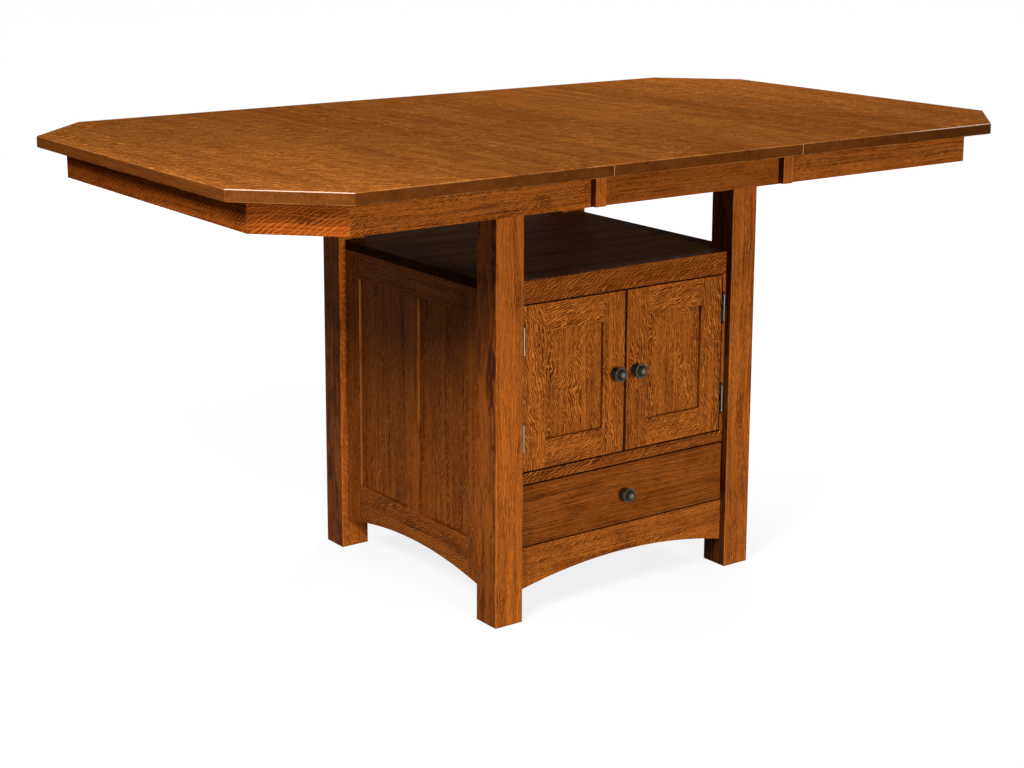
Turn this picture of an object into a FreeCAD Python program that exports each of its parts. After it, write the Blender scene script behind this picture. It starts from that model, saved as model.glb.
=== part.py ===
import FreeCAD, Part
import math
import os

from FreeCAD import Rotation, Vector

os.makedirs("parts", exist_ok=True)

# Counter-height cabinet table in quarter-sawn oak: a square cabinet base carries two top halves
# on geared equalizer slides, with one leaf between them. Lengths are in millimetres, angles in degrees.
# X runs along the table, -Y is the side with the doors and the drawer, +Z is up.
# The origin is on the floor under the middle of the base.

# Table top
table_height = 914.4
top_width = 1066.8
half_length = 685.8
leaf_length = 457.2
top_thickness = 22.2
corner_clip = 152.4
edge_round = 2.0
corner_round = 3.0
joint_gap = 0.4

# Aprons under the top, and the blocks that cover their joints
apron_inset = 50.8
apron_height = 60.3
apron_thickness = 19.05
block_width = 24.0
block_depth = 14.3
block_lift = 1.5
block_round = 1.5
running_gap = 0.3

# Base: legs, frame lumber and the heights of the front. The doors take up the height that is left.
base_length = 647.7
base_depth = 622.3
leg_width = 63.5
leg_round = 2.0
face_setback = 15.9
board = 19.05
rail_foot = 56.0
arch_rise = 30.0
bottom_rail = 85.2
drawer_opening = 127.0
divider_rail = 22.2
top_rail = 45.05
shelf_thickness = 19.05
niche_height = 132.85
top_frame_depth = 50.8
floor_thickness = 12.7

# Frame-and-panel work: sides, back and doors
side_stile = 50.8
middle_stile = 44.5
side_top_rail = 54.0
side_bottom_rail = 91.0
panel_thickness = 6.35
groove_depth = 9.5
panel_play = 1.5

# Doors
door_gap = 1.6
door_middle_gap = 2.4
door_stile = 55.5
door_rail = 57.15
hinge_strip = 7.9
catch_width = 60.0
catch_depth = 26.0
catch_drop = 36.0
catch_round = 3.0

# Butt hinges with turned tips on their pins
hinge_height = 50.8
hinge_place_share = 0.209
leaf_plate = 1.4
leaf_depth = 15.0
barrel_radius = 3.2
hinge_pin_radius = 1.5
hinge_fit = 0.05
knuckle_gap = 0.2
tip_collar = 1.5
tip_neck_radius = 1.6
tip_radius = 3.0
tip_length = 7.5

# Knobs
knob_radius = 15.0
knob_projection = 27.0
knob_rose_radius = 9.5
knob_rose = 2.5
knob_waist_radius = 5.0
knob_neck = 13.5
knob_rim = 3.0
knob_ring_width = 1.8
knob_ring_depth = 1.0
knob_from_edge = 24.6

# Drawer
drawer_side = 12.7
drawer_box_height = 95.0
drawer_box_lift = 12.0
drawer_bottom_thickness = 6.35
drawer_bottom_rise = 6.0
drawer_groove = 6.35
tail_count = 3
tail_lap = 6.35
tail_angle = 9.0
tail_width_share = 0.5

# Ball-bearing drawer slides: three steel channels, one inside the other
slide_length = 457.2
slide_height = 45.7
slide_width = 12.7
slide_sheet = 1.2
slide_lip = 9.5
slide_play = 0.5
slide_air = 1.0
drawer_cleat_height = 60.0

# Equalizer slides: a fixed rail on the base with one runner of each half beside it
equalizer_height = 42.9
equalizer_spread = 300.0
center_rail_width = 25.4
runner_width = 28.6
runner_lift = 1.0
runner_gap = 0.5
runner_end_gap = 4.5
runner_nose = 3.4
tongue_depth = 6.0
tongue_height = 8.0
tongue_rise = 6.0
tongue_play = 0.4

# Rack and pinion
gear_module = 2.0
pinion_teeth = 18
pressure_angle = 20.0
pinion_thickness = 9.0
backlash = 0.24
rack_rise = 21.0
rack_height = 10.0
rack_back = 4.0
rack_margin = 22.0
addendum_share = 1.0
dedendum_share = 1.25
post_radius = 4.0
post_fit = 0.05
post_foot = 14.0
post_head = 7.0

# How far a cutting tool runs past the face it cuts
overrun = 2.0

# Levels, up from the floor to the doors and down from the top to the doors
drawer_floor_z = rail_foot + bottom_rail
drawer_ceiling_z = drawer_floor_z + drawer_opening
door_floor_z = drawer_ceiling_z + divider_rail
underside_z = table_height - top_thickness
slide_top_z = underside_z - running_gap
frame_top_z = underside_z - equalizer_height
frame_foot_z = frame_top_z - top_frame_depth
shelf_top_z = frame_foot_z - niche_height
shelf_z = shelf_top_z - shelf_thickness
door_ceiling_z = shelf_top_z - top_rail
door_opening = door_ceiling_z - door_floor_z

# Plan positions of the base, as distances from its middle
leg_x = base_length / 2 - leg_width
leg_y = base_depth / 2 - leg_width
face_x = base_length / 2 - face_setback
face_y = base_depth / 2 - face_setback
inner_x = face_x - board
inner_y = face_y - board

# Joints of the top: the seam between a half and the leaf, and how far a half slides out
seam_x = leaf_length / 2
travel = leaf_length / 2

Z_AXIS = Vector(0, 0, 1)
X_AXIS = Vector(1, 0, 0)
ORIGIN = Vector(0, 0, 0)


def box(x0, x1, y0, y1, z0, z1):
    """A block between two corners."""
    return Part.makeBox(x1 - x0, y1 - y0, z1 - z0, Vector(x0, y0, z0))


def prism(outline, z0, z1):
    """A flat outline of (x, y) points raised from z0 to z1."""
    corners = [Vector(x, y, z0) for x, y in outline]
    face = Part.Face(Part.makePolygon(corners + corners[:1]))
    return face.extrude(Vector(0, 0, z1 - z0))


def placed(shape, angle, x, y, z):
    """The shape turned about the Z axis and then moved."""
    return shape.transformed(FreeCAD.Placement(Vector(x, y, z), Rotation(Z_AXIS, angle)).toMatrix())


def turned(shapes):
    """The shapes turned half way round the middle of the table."""
    return [placed(shape, 180, 0, 0, 0) for shape in shapes]


def mirrored(shapes):
    """The shapes as seen in a mirror on the table's X = 0 plane."""
    return [shape.mirror(ORIGIN, X_AXIS) for shape in shapes]


def upright_edges(shape, keep=lambda x, y: True):
    """Vertical edges of a shape whose plan position passes a test."""
    found = []
    for edge in shape.Edges:
        start = edge.Vertexes[0].Point
        end = edge.Vertexes[-1].Point
        level_run = math.hypot(end.x - start.x, end.y - start.y)
        if level_run < edge.Length / 2 and keep(start.x, start.y):
            found.append(edge)
    return found


def save(name, shapes):
    """Write one node's solids to its own file."""
    solids = [solid for shape in shapes for solid in shape.Solids]
    shape = solids[0] if len(solids) == 1 else Part.makeCompound(solids)
    shape.exportStep("parts/" + name + ".step")


def arch_cutter(width, rise):
    """The round stretch cut out of a rail's lower edge, from (0, 0) to (width, 0) in X and Z."""
    left = Vector(0, -overrun, 0)
    crown = Vector(width / 2, -overrun, rise)
    right = Vector(width, -overrun, 0)
    under = Vector(0, 0, -overrun)
    curve = Part.Arc(left, crown, right).toShape()
    sides = Part.makePolygon([right, right + under, left + under, left])
    face = Part.Face(Part.Wire([curve] + sides.Edges))
    return face.extrude(Vector(0, board + 2 * overrun, 0))


def framed_panels(width, height, stile, middle, head, foot, rise):
    """Frame and panels, with the outer face on Y = 0 and the lower left corner at the origin.

    The stiles run from top to bottom, the rails are tongued between them, and flat panels sit in
    the grooves. A middle width above zero adds a middle stile, and a rise cuts an arch below.
    """
    groove_y = (board - panel_thickness) / 2
    tongue_y = groove_y + panel_thickness
    bay_left = stile
    bay_right = width - stile
    bay_foot = foot
    bay_head = height - head

    left = box(0, stile, 0, board, 0, height)
    left = left.cut(box(stile - groove_depth, stile, groove_y, tongue_y, 0, height))
    right = box(bay_right, width, 0, board, 0, height)
    right = right.cut(box(bay_right, bay_right + groove_depth, groove_y, tongue_y, 0, height))

    reach_left = bay_left - groove_depth
    reach_right = bay_right + groove_depth
    lower = box(bay_left, bay_right, 0, board, 0, foot)
    lower = lower.fuse(box(reach_left, reach_right, groove_y, tongue_y, 0, foot))
    lower = lower.cut(box(reach_left, reach_right, groove_y, tongue_y, foot - groove_depth, foot))
    upper = box(bay_left, bay_right, 0, board, bay_head, height)
    upper = upper.fuse(box(reach_left, reach_right, groove_y, tongue_y, bay_head, height))
    upper = upper.cut(box(reach_left, reach_right, groove_y, tongue_y, bay_head, bay_head + groove_depth))

    stiles = [left, right]
    bays = [(bay_left, bay_right)]
    if middle > 0:
        post_left = (width - middle) / 2
        post_right = (width + middle) / 2
        reach_foot = bay_foot - groove_depth
        reach_head = bay_head + groove_depth
        post = box(post_left, post_right, 0, board, bay_foot, bay_head)
        post = post.fuse(box(post_left, post_right, groove_y, tongue_y, reach_foot, reach_head))
        for groove_left in (post_left, post_right - groove_depth):
            groove_right = groove_left + groove_depth
            post = post.cut(box(groove_left, groove_right, groove_y, tongue_y, reach_foot, reach_head))
        stiles.append(post)
        bays = [(bay_left, post_left), (post_right, bay_right)]

    bite = groove_depth - panel_play
    panels = [box(start - bite, end + bite, groove_y, tongue_y, bay_foot - bite, bay_head + bite)
              for start, end in bays]

    if rise > 0:
        cutter = arch_cutter(width, rise)
        stiles = [piece.cut(cutter) for piece in stiles]
        lower = lower.cut(cutter)
    return stiles, [lower, upper], panels


def build_legs():
    """Four square posts from the floor to the slides, with eased upright edges."""
    names = {(-1, -1): "leg_front_left", (1, -1): "leg_front_right",
             (-1, 1): "leg_back_left", (1, 1): "leg_back_right"}
    for (side_x, side_y), name in names.items():
        post = box(0, leg_width, 0, leg_width, 0, frame_top_z)
        post = post.makeFillet(leg_round, upright_edges(post))
        center_x = side_x * (leg_x + leg_width / 2)
        center_y = side_y * (leg_y + leg_width / 2)
        save(name, [placed(post, 0, center_x - leg_width / 2, center_y - leg_width / 2, 0)])


def build_walls():
    """Frame-and-panel sides and back, arched below, between the legs under the open shelf."""
    height = shelf_z - rail_foot
    side_parts = framed_panels(2 * leg_y, height, side_stile, middle_stile,
                               side_top_rail, side_bottom_rail, arch_rise)
    back_parts = framed_panels(2 * leg_x, height, side_stile, middle_stile,
                               side_top_rail, side_bottom_rail, arch_rise)
    walls = {"left_side": (side_parts, -90, -face_x, leg_y),
             "right_side": (side_parts, 90, face_x, -leg_y),
             "back": (back_parts, 180, leg_x, face_y)}
    for wall, (groups, angle, x, y) in walls.items():
        for group, shapes in zip(("stiles", "rails", "panels"), groups):
            save(wall + "_" + group, [placed(shape, angle, x, y, rail_foot) for shape in shapes])


def build_front_rails():
    """The arched rail under the drawer, the rail above it, the rail over the doors and hinge strips."""
    bottom = box(-leg_x, leg_x, -face_y, -inner_y, rail_foot, drawer_floor_z)
    bottom = bottom.cut(placed(arch_cutter(2 * leg_x, arch_rise), 0, -leg_x, -face_y, rail_foot))
    save("front_bottom_rail", [bottom])
    divider = box(-leg_x, leg_x, -face_y, -inner_y, drawer_ceiling_z, door_floor_z)
    head = box(-leg_x, leg_x, -face_y, -inner_y, door_ceiling_z, shelf_top_z)
    save("front_cross_rails", [divider, head])
    strip = box(leg_x - hinge_strip, leg_x, -face_y, -inner_y, door_floor_z, door_ceiling_z)
    for pocket in hinge_pockets(leg_x - hinge_strip, leg_x - hinge_strip + leaf_plate):
        strip = strip.cut(pocket)
    save("hinge_strips", mirrored([strip]) + [strip])


def notched_board(half_x, front_y, back_y, z0, z1):
    """A level board round the inner corners of the four legs."""
    corner = box(leg_x, half_x + overrun, leg_y, back_y + overrun, z0 - overrun, z1 + overrun)
    pair = mirrored([corner]) + [corner]
    return box(-half_x, half_x, front_y, back_y, z0, z1).cut(pair + turned(pair))


def build_boards():
    """The open shelf behind the rail over the doors, the cupboard's floor and the bottom under the drawer."""
    shelf = notched_board(face_x, -inner_y, face_y, shelf_z, shelf_top_z)
    floor = notched_board(inner_x, -inner_y, inner_y, door_floor_z - floor_thickness, door_floor_z)
    bottom = notched_board(inner_x, -inner_y, inner_y, drawer_floor_z - floor_thickness, drawer_floor_z)
    save("open_shelf", [shelf])
    save("cupboard_floor", [floor])
    save("cabinet_bottom", [bottom])


def build_top_frame():
    """Four rails that tie the legs together under the equalizer slides."""
    front = box(-leg_x, leg_x, -face_y, -inner_y, frame_foot_z, frame_top_z)
    side = box(inner_x, face_x, -leg_y, leg_y, frame_foot_z, frame_top_z)
    save("top_frame_rails", [front, side] + turned([front, side]))


def hinge_levels():
    """The lower end of each hinge on a door, by the share of the door's height from its nearer end."""
    door_foot = door_floor_z + door_gap
    door_head = door_ceiling_z - door_gap
    inset = (door_head - door_foot) * hinge_place_share
    return [door_foot + inset - hinge_height / 2, door_head - inset - hinge_height / 2]


def hinge_pockets(x0, x1):
    """The shallow cuts that let the hinge plates in flush, between two X positions."""
    return [box(x0, x1, -face_y - overrun, -face_y + leaf_depth, z, z + hinge_height)
            for z in hinge_levels()]


def hinge_pieces():
    """The frame plates, door plates and pins of the right door's hinges."""
    axis_x = leg_x - hinge_strip - door_gap / 2
    axis_y = -face_y - barrel_radius
    knuckle = hinge_height / 3
    frame_plates = []
    door_plates = []
    pins = []
    for z in hinge_levels():
        spans = {"foot": (z, z + knuckle - knuckle_gap),
                 "middle": (z + knuckle, z + 2 * knuckle),
                 "head": (z + 2 * knuckle + knuckle_gap, z + hinge_height)}
        bore = Part.makeCylinder(hinge_pin_radius + hinge_fit, hinge_height + 2 * overrun,
                                 Vector(axis_x, axis_y, z - overrun))
        barrels = {name: Part.makeCylinder(barrel_radius, end - start, Vector(axis_x, axis_y, start))
                   for name, (start, end) in spans.items()}
        frame_x = axis_x + door_gap / 2
        frame_plate = box(frame_x, frame_x + leaf_plate, axis_y, -face_y + leaf_depth, z, z + hinge_height)
        frame_clear = Part.makeCylinder(barrel_radius + knuckle_gap, knuckle + 2 * knuckle_gap,
                                        Vector(axis_x, axis_y, z + knuckle - knuckle_gap))
        frame_plate = frame_plate.cut(frame_clear).fuse([barrels["foot"], barrels["head"]])
        frame_plates.append(frame_plate.cut(bore).removeSplitter())
        door_x = axis_x - door_gap / 2
        door_plate = box(door_x - leaf_plate, door_x, axis_y, -face_y + leaf_depth, z, z + hinge_height)
        for start, end in (spans["foot"], spans["head"]):
            clear = Part.makeCylinder(barrel_radius + knuckle_gap, end - start + 2 * knuckle_gap,
                                      Vector(axis_x, axis_y, start - knuckle_gap))
            door_plate = door_plate.cut(clear)
        door_plate = door_plate.fuse(barrels["middle"])
        door_plates.append(door_plate.cut(bore).removeSplitter())
        pins.append(hinge_pin(axis_x, axis_y, z))
    return frame_plates, door_plates, pins


def hinge_pin(x, y, z):
    """A pin with a turned tip beyond each end of the barrel."""
    half = hinge_height / 2
    # Radius and height above the barrel's middle, up one side of the pin.
    profile = [(0, 0), (hinge_pin_radius, 0), (hinge_pin_radius, half), (barrel_radius, half),
               (barrel_radius, half + tip_collar), (tip_neck_radius, half + tip_collar),
               (tip_radius, half + tip_collar + tip_length / 2), (0, half + tip_collar + tip_length)]
    corners = [Vector(radius, 0, height) for radius, height in profile]
    upper = Part.Face(Part.makePolygon(corners + corners[:1])).revolve(ORIGIN, Z_AXIS, 360)
    pin = upper.fuse(upper.mirror(ORIGIN, Z_AXIS)).removeSplitter()
    return placed(pin, 0, x, y, z + half)


def knob(x, z):
    """A turned mushroom knob on the front face, with a ring cut into its domed head."""
    head_start = knob_rose + knob_neck
    rim_end = head_start + knob_rim
    lip_radius = knob_radius - knob_ring_width
    ring_radius = lip_radius - knob_ring_width
    dome_rise = knob_projection - rim_end
    dome_radius = (dome_rise ** 2 + ring_radius ** 2) / (2 * dome_rise)
    dome_half_angle = math.asin(ring_radius / dome_radius) / 2
    dome_center = knob_projection - dome_radius
    # Each point is a radius and a distance from the door face, from the foot outwards.
    waist = knob_rose + knob_neck / 2
    stem = [Vector(0, 0, 0), Vector(knob_rose_radius, 0, 0), Vector(knob_rose_radius, 0, knob_rose),
            Vector(knob_waist_radius, 0, waist), Vector(knob_radius - knob_ring_width, 0, head_start),
            Vector(knob_radius, 0, head_start + knob_ring_depth), Vector(knob_radius, 0, rim_end),
            Vector(lip_radius, 0, rim_end + knob_ring_depth), Vector(ring_radius, 0, rim_end)]
    shoulder = Vector(dome_radius * math.sin(dome_half_angle), 0,
                      dome_center + dome_radius * math.cos(dome_half_angle))
    crown = Vector(0, 0, knob_projection)
    edges = Part.makePolygon(stem).Edges
    edges.append(Part.Arc(stem[-1], shoulder, crown).toShape())
    edges += Part.makePolygon([crown, stem[0]]).Edges
    face = Part.Face(Part.Wire(edges))
    turned_knob = face.revolve(ORIGIN, Z_AXIS, 360)
    to_front = FreeCAD.Placement(Vector(x, -face_y, z), Rotation(X_AXIS, 90))
    return turned_knob.transformed(to_front.toMatrix())


def build_doors():
    """Two inset doors with flat panels, their knobs, hinges and catch."""
    opening_x = leg_x - hinge_strip
    start_x = door_middle_gap / 2
    width = opening_x - door_gap - start_x
    foot = door_floor_z + door_gap
    height = door_opening - 2 * door_gap
    stiles, rails, panels = framed_panels(width, height, door_stile, 0, door_rail, door_rail, 0)
    door = [[placed(shape, 0, start_x, -face_y, foot) for shape in group]
            for group in (stiles, rails, panels)]
    for pocket in hinge_pockets(opening_x - door_gap - leaf_plate, opening_x - door_gap):
        door[0][1] = door[0][1].cut(pocket)
    frame_plates, door_plates, pins = hinge_pieces()
    pieces = {"stiles": door[0], "rails": door[1], "panel": door[2], "hinge_plates": door_plates,
              "knob": [knob(start_x + knob_from_edge, foot + height / 2)]}
    for name, shapes in pieces.items():
        save("right_door_" + name, shapes)
        save("left_door_" + name, mirrored(shapes))
    save("frame_hinge_plates", frame_plates + mirrored(frame_plates))
    save("hinge_pins", pins + mirrored(pins))
    catch_face = -inner_y + running_gap
    catch = box(-catch_width / 2, catch_width / 2, catch_face, catch_face + catch_depth,
                shelf_z - catch_drop, shelf_z)
    save("door_catch", [catch.makeFillet(catch_round, upright_edges(catch))])


def dovetails(x0, x1, root_y, foot_z, height):
    """Tails of a drawer side that point to the front and widen towards their tips."""
    length = board - tail_lap
    pitch = height / tail_count
    root = pitch * tail_width_share / 2
    tip = root + length * math.tan(math.radians(tail_angle))
    tails = []
    for index in range(tail_count):
        middle = foot_z + pitch * (index + 0.5)
        corners = [Vector(x0, root_y, middle - root), Vector(x0, root_y - length, middle - tip),
                   Vector(x0, root_y - length, middle + tip), Vector(x0, root_y, middle + root)]
        face = Part.Face(Part.makePolygon(corners + corners[:1]))
        tails.append(face.extrude(Vector(x1 - x0, 0, 0)))
    return tails


def build_drawer():
    """A dovetailed drawer box behind a flat inset front."""
    front_x = leg_x - door_gap
    outer_x = leg_x - slide_width
    inner_side_x = outer_x - drawer_side
    foot = drawer_floor_z + door_gap
    head = drawer_ceiling_z - door_gap
    box_foot = foot + drawer_box_lift
    box_head = box_foot + drawer_box_height
    end_y = -inner_y + slide_length
    bottom_foot = box_foot + drawer_bottom_rise
    bottom_head = bottom_foot + drawer_bottom_thickness

    bottom = box(-inner_side_x - drawer_groove, inner_side_x + drawer_groove,
                 -inner_y - drawer_groove, end_y, bottom_foot, bottom_head)
    tails = dovetails(inner_side_x, outer_x, -inner_y, box_foot, drawer_box_height)
    front = box(-front_x, front_x, -face_y, -inner_y, foot, head)
    front = front.cut(tails + mirrored(tails)).cut(bottom)
    side = box(inner_side_x, outer_x, -inner_y, end_y, box_foot, box_head)
    side = side.fuse(tails).cut(bottom).removeSplitter()
    back = box(-inner_side_x, inner_side_x, end_y - drawer_side, end_y, bottom_head, box_head)
    save("drawer_front", [front])
    save("drawer_sides", [side] + mirrored([side]))
    save("drawer_back", [back])
    save("drawer_bottom", [bottom])
    save("drawer_knob", [knob(0, (foot + head) / 2)])


def channel(x0, x1, middle_z, height, wall_x0, wall_x1):
    """A steel channel along Y, whose web lies between two X positions."""
    start_y = -inner_y
    end_y = start_y + slide_length
    foot = middle_z - height / 2
    head = middle_z + height / 2
    profile = box(x0, x1, start_y, end_y, foot, head)
    hollow = box(min(x0, wall_x0) if wall_x0 > x0 else wall_x1, wall_x0 if wall_x0 > x0 else x1,
                 start_y, end_y, foot + slide_sheet, head - slide_sheet)
    return profile.cut(hollow)


def build_drawer_slides():
    """Full-extension slides: a channel on the cabinet, one that follows, and one on the drawer."""
    middle_z = drawer_floor_z + door_gap + drawer_box_lift + drawer_box_height / 2
    mount_x = leg_x
    drawer_x = leg_x - slide_width
    cabinet = channel(mount_x - slide_lip, mount_x, middle_z, slide_height,
                      mount_x - slide_sheet, mount_x)
    follow_height = slide_height - 2 * (slide_sheet + slide_play)
    follow_x = mount_x - slide_sheet - slide_air
    follower = channel(follow_x - slide_lip + slide_sheet, follow_x, middle_z, follow_height,
                       follow_x - slide_sheet, follow_x)
    drawer_height = follow_height - 2 * (slide_sheet + slide_play)
    drawer_end = follow_x - slide_sheet - slide_air
    member = channel(drawer_x, drawer_end, middle_z, drawer_height, drawer_x, drawer_x + slide_sheet)
    save("cabinet_slide_channels", [cabinet] + mirrored([cabinet]))
    save("middle_slide_channels", [follower] + mirrored([follower]))
    save("drawer_slide_channels", [member] + mirrored([member]))
    cleat_foot = middle_z - drawer_cleat_height / 2
    cleat = box(leg_x, inner_x, -leg_y, leg_y, cleat_foot, cleat_foot + drawer_cleat_height)
    save("drawer_slide_cleats", [cleat] + mirrored([cleat]))


def top_outline(seam, inset):
    """Plan outline of the left half, drawn in by an inset from its three outer sides and clips."""
    end = -seam_x - half_length + inset
    side = top_width / 2 - inset
    clip = corner_clip - inset * (2 - math.sqrt(2))
    return [(seam, -side), (seam, side), (end + clip, side), (end, side - clip),
            (end, -side + clip), (end + clip, -side)]


def build_top_half_left():
    """The left half's slab, aprons and cover blocks, in the order of their names."""
    seam = -seam_x - joint_gap / 2
    slab = prism(top_outline(seam, 0), underside_z, table_height)
    slab = slab.makeFillet(corner_round, upright_edges(slab, lambda x, y: x < seam - joint_gap))
    rims = []
    for edge in slab.Edges:
        bounds = edge.BoundBox
        level = bounds.ZLength < joint_gap
        on_seam = bounds.XMin > seam - joint_gap
        if level and not on_seam:
            rims.append(edge)
    slab = slab.makeFillet(edge_round, rims)

    apron_foot = underside_z - apron_height
    outer = top_outline(seam, apron_inset)
    inner = top_outline(seam, apron_inset + apron_thickness)
    # The ring between the two outlines is cut into pieces that meet in mitres at its corners.
    mitred = []
    for start in range(1, 5):
        corners = [outer[start], outer[start + 1], inner[start + 1], inner[start]]
        mitred.append(prism(corners, apron_foot, underside_z))
    front = prism([outer[5], outer[0], inner[0], inner[5]], apron_foot, underside_z)
    long_aprons = [mitred[0], front]
    end_aprons = mitred[1:]

    block_foot = apron_foot + block_lift
    apron_y = top_width / 2 - apron_inset
    block = box(-seam_x - block_width / 2, -seam_x + block_width / 2,
                apron_y, apron_y + block_depth, block_foot, underside_z - running_gap)
    block = block.makeFillet(block_round, upright_edges(block, lambda x, y: y > apron_y + block_depth / 2))
    blocks = [block, block.mirror(ORIGIN, Vector(0, 1, 0))]
    return {"top": [slab], "long_aprons": long_aprons, "end_aprons": end_aprons, "cover_blocks": blocks}


def build_leaf():
    """The leaf's slab and its two aprons, set back a little so that it lifts out freely."""
    half = seam_x - joint_gap / 2
    slab = box(-half, half, -top_width / 2, top_width / 2, underside_z, table_height)
    rims = []
    for edge in slab.Edges:
        bounds = edge.BoundBox
        if bounds.ZLength < joint_gap and bounds.YLength < joint_gap:
            rims.append(edge)
    slab = slab.makeFillet(edge_round, rims)
    apron_foot = underside_z - apron_height
    apron_face = top_width / 2 - apron_inset - running_gap
    apron = box(-half, half, apron_face - apron_thickness, apron_face, apron_foot, underside_z)
    save("leaf_top", [slab])
    save("leaf_aprons", [apron] + turned([apron]))


def pinion_outline():
    """Outline of the involute pinion in plan, with one tooth centred on +Y.

    Each flank is the arc through three points of its involute.
    """
    pitch_radius = gear_module * pinion_teeth / 2
    base_radius = pitch_radius * math.cos(math.radians(pressure_angle))
    tip_circle = pitch_radius + addendum_share * gear_module
    root_circle = pitch_radius - dedendum_share * gear_module
    tilt = math.tan(math.radians(pressure_angle)) - math.radians(pressure_angle)
    half_tooth = math.pi / (2 * pinion_teeth) - backlash / (4 * pitch_radius)

    def flank_angle(radius):
        """Half of a tooth's angular width at a radius."""
        if radius <= base_radius:
            return half_tooth + tilt
        roll = math.sqrt((radius / base_radius) ** 2 - 1)
        return half_tooth + tilt - (roll - math.atan(roll))

    def point(radius, angle):
        """A point at an angle measured from +Y, clockwise."""
        return Vector(radius * math.sin(angle), radius * math.cos(angle), 0)

    step = 2 * math.pi / pinion_teeth
    flank_start = max(base_radius, root_circle)
    flank_middle = (flank_start + tip_circle) / 2
    root_half = flank_angle(flank_start)
    tip_half = flank_angle(tip_circle)
    middle_half = flank_angle(flank_middle)
    edges = []
    for tooth in range(pinion_teeth):
        center = tooth * step
        for side in (-1, 1):
            foot = point(flank_start, center + side * root_half)
            edges.append(Part.makeLine(point(root_circle, center + side * root_half), foot))
            edges.append(Part.Arc(foot, point(flank_middle, center + side * middle_half),
                                  point(tip_circle, center + side * tip_half)).toShape())
        edges.append(Part.Arc(point(tip_circle, center - tip_half), point(tip_circle, center),
                              point(tip_circle, center + tip_half)).toShape())
        edges.append(Part.Arc(point(root_circle, center + root_half), point(root_circle, center + step / 2),
                              point(root_circle, center + step - root_half)).toShape())
    return Part.Wire(Part.__sortEdges__(edges))


def rack(side, phase):
    """A rack strip whose teeth face the pinion, for the runner on one side of a fixed rail (-1 or 1).

    Its teeth leave a gap at X = 0 when the phase is zero.
    """
    pitch_radius = gear_module * pinion_teeth / 2
    pitch = math.pi * gear_module
    tip = pitch_radius - addendum_share * gear_module
    root = pitch_radius + dedendum_share * gear_module
    slope = math.tan(math.radians(pressure_angle))
    tip_half = (pitch - backlash) / 4 - addendum_share * gear_module * slope
    root_half = (pitch - backlash) / 4 + dedendum_share * gear_module * slope
    start = -rack_margin
    end = travel + rack_margin
    outline = [(start, root + rack_back), (start, root)]
    tooth = math.ceil((start + root_half - phase) / pitch - 0.5)
    while (tooth + 0.5) * pitch + phase + root_half <= end:
        center = (tooth + 0.5) * pitch + phase
        outline += [(center - root_half, root), (center - tip_half, tip),
                    (center + tip_half, tip), (center + root_half, root)]
        tooth += 1
    outline += [(end, root), (end, root + rack_back)]
    strip = prism(outline, frame_top_z + rack_rise, frame_top_z + rack_rise + rack_height)
    return strip if side > 0 else strip.mirror(ORIGIN, Vector(0, 1, 0))


def build_equalizer():
    """Fixed rails with their pinions and posts, and the runners and racks of both halves."""
    pitch_radius = gear_module * pinion_teeth / 2
    tip_circle = pitch_radius + addendum_share * gear_module
    rack_foot = frame_top_z + rack_rise
    pinion_foot = rack_foot + (rack_height - pinion_thickness) / 2
    half_rail = center_rail_width / 2

    # Fixed rail with a tongue along both sides and a slot for the pinion.
    rail = box(-face_x, face_x, -half_rail, half_rail, frame_top_z, slide_top_z)
    tongue_foot = frame_top_z + tongue_rise
    tongues = box(-face_x, face_x, -half_rail - tongue_depth, half_rail + tongue_depth,
                  tongue_foot, tongue_foot + tongue_height)
    slot_half = tip_circle + running_gap
    slot = box(-slot_half, slot_half, -half_rail, half_rail,
               pinion_foot - running_gap, pinion_foot + pinion_thickness + running_gap)
    post_start = rack_foot - post_foot
    post_length = post_foot + rack_height + post_head
    bore = Part.makeCylinder(post_radius + post_fit, post_length, Vector(0, 0, post_start))
    rail = rail.fuse(tongues).cut(slot).cut(bore).removeSplitter()
    post = Part.makeCylinder(post_radius, post_length, Vector(0, 0, post_start))

    disc = Part.Face(pinion_outline()).extrude(Vector(0, 0, pinion_thickness))
    disc = placed(disc, 0, 0, 0, pinion_foot)
    disc = disc.cut(Part.makeCylinder(post_radius + post_fit, post_length, Vector(0, 0, post_start)))

    # Runner of the left half, beside the fixed rail, with a groove for the tongue and one for the rack.
    near = half_rail + runner_gap
    far = near + runner_width
    outer_end = -seam_x - half_length + apron_inset + apron_thickness + runner_end_gap
    inner_end = travel + rack_margin + runner_nose
    seam = -seam_x - joint_gap / 2
    runner_foot = frame_top_z + runner_lift
    runner = box(outer_end, inner_end, near, far, runner_foot, underside_z)
    runner = runner.cut(box(seam, inner_end, near, far, slide_top_z, underside_z))
    runner = runner.cut(box(outer_end, inner_end, near, half_rail + tongue_depth + runner_gap,
                            tongue_foot - tongue_play, tongue_foot + tongue_height + tongue_play))
    rack_depth = pitch_radius + dedendum_share * gear_module + rack_back
    runner = runner.cut(box(-rack_margin, travel + rack_margin, near, rack_depth,
                            rack_foot, rack_foot + rack_height))
    runner = runner.mirror(ORIGIN, Vector(0, 1, 0))

    far_phase = gear_module * math.pi / 2 * (pinion_teeth % 2)
    left_rack = rack(-1, 0)
    right_rack = placed(rack(-1, far_phase), 180, 0, 0, 0)
    right_runner = placed(runner, 180, 0, 0, 0)
    sets = (-equalizer_spread / 2, equalizer_spread / 2)

    def both(shape):
        """The shape at the front set and at the back set."""
        return [placed(shape, 0, 0, y, 0) for y in sets]

    save("equalizer_rails", both(rail))
    save("pinion_posts", both(post))
    save("front_pinion", both(disc)[:1])
    save("back_pinion", both(disc)[1:])
    save("left_runners", both(runner))
    save("right_runners", both(right_runner))
    save("left_racks", both(left_rack))
    save("right_racks", both(right_rack))


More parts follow.
